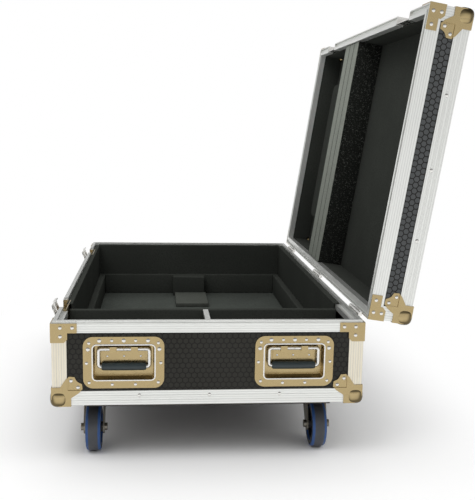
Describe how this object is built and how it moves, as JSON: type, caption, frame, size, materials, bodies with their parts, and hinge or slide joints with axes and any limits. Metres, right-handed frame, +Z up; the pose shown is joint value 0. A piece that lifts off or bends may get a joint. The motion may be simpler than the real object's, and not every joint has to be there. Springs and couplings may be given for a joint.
{
  "type": "road case",
  "caption": "Long road case with hinged lid standing open, recessed catches and handles, ball corners, foam-lined bays and swivel casters.",
  "frame": {"origin": "centre of the open case's box, on the floor under the wheels", "axes": "+Z up, +Y along the case away from the end with the small bays, +X towards the hinge side"},
  "size_m": [0.8521, 1.111, 0.9429],
  "materials": {
    "aluminium_extrusion": "satin anodised",
    "zinc_hardware": "polished zinc plate",
    "rivet_steel": "polished",
    "laminate_board": "honeycomb laminate on plywood",
    "painted_board": "black paint on plywood",
    "charcoal_foam": "closed-cell foam",
    "grey_foam": "closed-cell foam",
    "black_rubber": "satin",
    "blue_tyre": "elastic rubber",
    "wheel_core": "nylon",
    "caster_steel": "zinc plated"
  },
  "bodies": {
    "case_base": {"base_ball_corners": "zinc_hardware", "base_braces": "zinc_hardware", "base_end_panels": "laminate_board", "base_lining": "charcoal_foam", "base_rim_extrusions": "aluminium_extrusion", "base_rivets": "rivet_steel", "caster_board": "painted_board", "caster_plates": "caster_steel", "catch_dishes": "zinc_hardware", "catch_side_panel": "laminate_board", "divider_cap": "aluminium_extrusion", "edge_extrusions": "aluminium_extrusion", "floor_panel": "laminate_board", "foam_blocks": "grey_foam", "handle_covers": "zinc_hardware", "handle_dishes": "zinc_hardware", "hinge_base_leaves": "zinc_hardware", "hinge_pins": "zinc_hardware", "hinge_side_panel": "laminate_board", "ledge_foam": "charcoal_foam", "long_divider": "charcoal_foam", "short_divider": "charcoal_foam"},
    "lid": {"catch_keepers": "zinc_hardware", "hinge_lid_leaves": "zinc_hardware", "lid_ball_corners": "zinc_hardware", "lid_braces": "zinc_hardware", "lid_edge_extrusions": "aluminium_extrusion", "lid_lining": "charcoal_foam", "lid_pad": "grey_foam", "lid_rib": "grey_foam", "lid_rim_extrusions": "aluminium_extrusion", "lid_rivets": "rivet_steel", "lid_top_panel": "laminate_board", "lid_wall_panels": "laminate_board"},
    "handle_1": {"handle_bail_1": "zinc_hardware", "handle_grip_1": "black_rubber"},
    "handle_2": {"handle_bail_2": "zinc_hardware", "handle_grip_2": "black_rubber"},
    "handle_3": {"handle_bail_3": "zinc_hardware", "handle_grip_3": "black_rubber"},
    "handle_4": {"handle_bail_4": "zinc_hardware", "handle_grip_4": "black_rubber"},
    "catch_claw_1": {"catch_claw_1": "zinc_hardware"},
    "catch_rotor_1": {"catch_rotor_1": "zinc_hardware"},
    "catch_wing_1": {"catch_wing_1": "zinc_hardware"},
    "catch_claw_2": {"catch_claw_2": "zinc_hardware"},
    "catch_rotor_2": {"catch_rotor_2": "zinc_hardware"},
    "catch_wing_2": {"catch_wing_2": "zinc_hardware"},
    "fork_1": {"caster_fork_1": "caster_steel"},
    "wheel_1": {"caster_wheel_1": "wheel_core", "caster_tyre_1": "blue_tyre"},
    "fork_2": {"caster_fork_2": "caster_steel"},
    "wheel_2": {"caster_wheel_2": "wheel_core", "caster_tyre_2": "blue_tyre"},
    "fork_3": {"caster_fork_3": "caster_steel"},
    "wheel_3": {"caster_wheel_3": "wheel_core", "caster_tyre_3": "blue_tyre"},
    "fork_4": {"caster_fork_4": "caster_steel"},
    "wheel_4": {"caster_wheel_4": "wheel_core", "caster_tyre_4": "blue_tyre"}
  },
  "joints": [
    {"name": "lid_hinge", "type": "hinge", "parent": "case_base", "child": "lid", "pos_m": [0.2387, 0, 0.3], "axis": [0, 1, 0], "range_deg": [-98.5, 0]},
    {"name": "handle_swing_1", "type": "hinge", "parent": "case_base", "child": "handle_1", "pos_m": [-0.2638, -0.5397, 0.2415], "axis": [-1, 0, 0], "range_deg": [0, 95], "stiffness_Nm_per_rad": 0.12, "springref_deg": -20.05},
    {"name": "handle_swing_2", "type": "hinge", "parent": "case_base", "child": "handle_2", "pos_m": [0.0872, -0.5397, 0.2415], "axis": [-1, 0, 0], "range_deg": [0, 95], "stiffness_Nm_per_rad": 0.12, "springref_deg": -20.05},
    {"name": "handle_swing_3", "type": "hinge", "parent": "case_base", "child": "handle_3", "pos_m": [-0.2638, 0.5397, 0.2415], "axis": [1, 0, 0], "range_deg": [0, 95], "stiffness_Nm_per_rad": 0.12, "springref_deg": -20.05},
    {"name": "handle_swing_4", "type": "hinge", "parent": "case_base", "child": "handle_4", "pos_m": [0.0872, 0.5397, 0.2415], "axis": [1, 0, 0], "range_deg": [0, 95], "stiffness_Nm_per_rad": 0.12, "springref_deg": -20.05},
    {"name": "claw_tilt_1", "type": "hinge", "parent": "case_base", "child": "catch_claw_1", "pos_m": [-0.3983, -0.374, 0.245], "axis": [0, 1, 0], "range_deg": [0, 21]},
    {"name": "rotor_turn_1", "type": "hinge", "parent": "catch_claw_1", "child": "catch_rotor_1", "pos_m": [-0.40941, -0.374, 0.27394], "axis": [-0.9336, 0, -0.3584], "range_deg": [0, 180]},
    {"name": "wing_fold_1", "type": "hinge", "parent": "catch_rotor_1", "child": "catch_wing_1", "pos_m": [-0.41141, -0.374, 0.26128], "axis": [0, -1, 0], "range_deg": [0, 75]},
    {"name": "claw_tilt_2", "type": "hinge", "parent": "case_base", "child": "catch_claw_2", "pos_m": [-0.3983, 0.374, 0.245], "axis": [0, 1, 0], "range_deg": [0, 21]},
    {"name": "rotor_turn_2", "type": "hinge", "parent": "catch_claw_2", "child": "catch_rotor_2", "pos_m": [-0.40941, 0.374, 0.27394], "axis": [-0.9336, 0, -0.3584], "range_deg": [0, 180]},
    {"name": "wing_fold_2", "type": "hinge", "parent": "catch_rotor_2", "child": "catch_wing_2", "pos_m": [-0.41141, 0.374, 0.26128], "axis": [0, -1, 0], "range_deg": [0, 75]},
    {"name": "caster_swivel_1", "type": "hinge", "parent": "case_base", "child": "fork_1", "pos_m": [-0.3303, -0.432, 0.1125], "axis": [0, 0, 1], "continuous": true},
    {"name": "wheel_spin_1", "type": "hinge", "parent": "fork_1", "child": "wheel_1", "pos_m": [-0.3303, -0.47, 0.05], "axis": [1, 0, 0], "continuous": true},
    {"name": "caster_swivel_2", "type": "hinge", "parent": "case_base", "child": "fork_2", "pos_m": [0.1537, -0.432, 0.1125], "axis": [0, 0, 1], "continuous": true},
    {"name": "wheel_spin_2", "type": "hinge", "parent": "fork_2", "child": "wheel_2", "pos_m": [0.1537, -0.47, 0.05], "axis": [1, 0, 0], "continuous": true},
    {"name": "caster_swivel_3", "type": "hinge", "parent": "case_base", "child": "fork_3", "pos_m": [-0.3303, 0.432, 0.1125], "axis": [0, 0, 1], "continuous": true},
    {"name": "wheel_spin_3", "type": "hinge", "parent": "fork_3", "child": "wheel_3", "pos_m": [-0.3303, 0.394, 0.05], "axis": [1, 0, 0], "continuous": true},
    {"name": "caster_swivel_4", "type": "hinge", "parent": "case_base", "child": "fork_4", "pos_m": [0.1537, 0.432, 0.1125], "axis": [0, 0, 1], "continuous": true},
    {"name": "wheel_spin_4", "type": "hinge", "parent": "fork_4", "child": "wheel_4", "pos_m": [0.1537, 0.394, 0.05], "axis": [1, 0, 0], "continuous": true}
  ]
}
